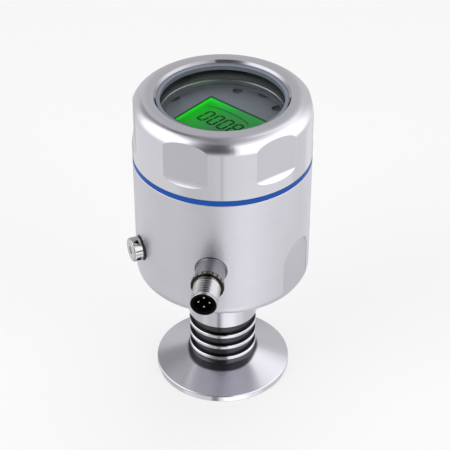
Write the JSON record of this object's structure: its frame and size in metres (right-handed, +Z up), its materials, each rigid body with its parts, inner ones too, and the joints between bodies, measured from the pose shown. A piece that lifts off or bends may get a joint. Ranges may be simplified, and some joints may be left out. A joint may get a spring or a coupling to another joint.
{
  "type": "sanitary pressure transducer",
  "caption": "Hygienic pressure transducer with clamp ferrule, finned cooling neck, round steel housing, screwed window cover over a turning display, round plug connector and vent plug.",
  "frame": {"origin": "centre of the flush sealing face at the bottom of the clamp ferrule", "axes": "+Z up along the turning axis towards the window, connector towards -Y, +X to the right when the connector is seen from the front"},
  "size_m": [0.0815, 0.1036, 0.1506],
  "materials": {
    "turned_steel": "fine turned, electropolished",
    "housing_steel": "satin, electropolished",
    "diaphragm_steel": "bright rolled foil",
    "bright_nickel": "polished nickel plate",
    "dark_nickel": "dark nickel plate",
    "gold_plate": "gold plated",
    "brass_pillar": "plated brass",
    "zinc_steel": "zinc plated",
    "black_rubber": "matt",
    "blue_silicone": "smooth, satin",
    "pale_silicone": "translucent, satin",
    "window_glass": "clear, polished",
    "grey_plastic": "fine textured moulding",
    "black_plastic": "moulded",
    "white_plastic": "diffusing light guide",
    "terminal_plastic": "moulded",
    "chip_plastic": "moulded package",
    "capacitor_can": "sleeved can",
    "green_board": "solder resist",
    "lcd_green": "backlit screen",
    "silicon": "polished die"
  },
  "bodies": {
    "base": {"process_body": "turned_steel", "diaphragm": "diaphragm_steel", "sensor_header": "turned_steel", "header_seal": "black_rubber", "sensor_die": "silicon", "header_pins": "gold_plate", "sensor_ring": "turned_steel", "sensor_board": "green_board", "neck_seal": "black_rubber", "neck_nut": "turned_steel", "housing": "housing_steel", "display_cup": "black_plastic", "cup_screws": "zinc_steel", "board_pillars": "brass_pillar", "main_board": "green_board", "power_board": "green_board", "signal_chips": "chip_plastic", "capacitors": "capacitor_can", "board_link": "black_plastic", "terminal_strip": "terminal_plastic", "connector_shell": "bright_nickel", "connector_seal": "black_rubber", "connector_ring": "dark_nickel", "connector_insert": "black_plastic", "connector_pins": "gold_plate", "vent_seal": "black_rubber", "vent_body": "bright_nickel", "vent_membrane": "pale_silicone", "vent_cap": "bright_nickel", "vent_nut": "bright_nickel"},
    "gasket": {"cover_gasket": "blue_silicone"},
    "cover": {"cover": "housing_steel", "window_seal": "pale_silicone", "window_glass": "window_glass", "glass_gasket": "black_rubber", "glass_retainer": "turned_steel"},
    "display": {"display_bezel": "grey_plastic", "lcd_panel": "lcd_green", "lcd_backlight": "white_plastic", "display_board": "green_board", "display_screws": "zinc_steel", "display_chips": "chip_plastic"}
  },
  "joints": [
    {"name": "cover_lift", "type": "slide", "parent": "base", "child": "gasket", "axis": [0, 0, 1], "range_m": [0, 0.00675]},
    {"name": "cover_turn", "type": "hinge", "parent": "gasket", "child": "cover", "pos_m": [0, 0, 0.1217], "axis": [0, 0, 1], "range_deg": [0, 1620]},
    {"name": "display_turn", "type": "hinge", "parent": "base", "child": "display", "pos_m": [0, 0, 0.1223], "axis": [0, 0, 1], "range_deg": [-165, 165]}
  ],
  "couplings": [
    {"joint": "cover_lift", "follows": "cover_turn", "m_per_rad": 0.0002387}
  ]
}
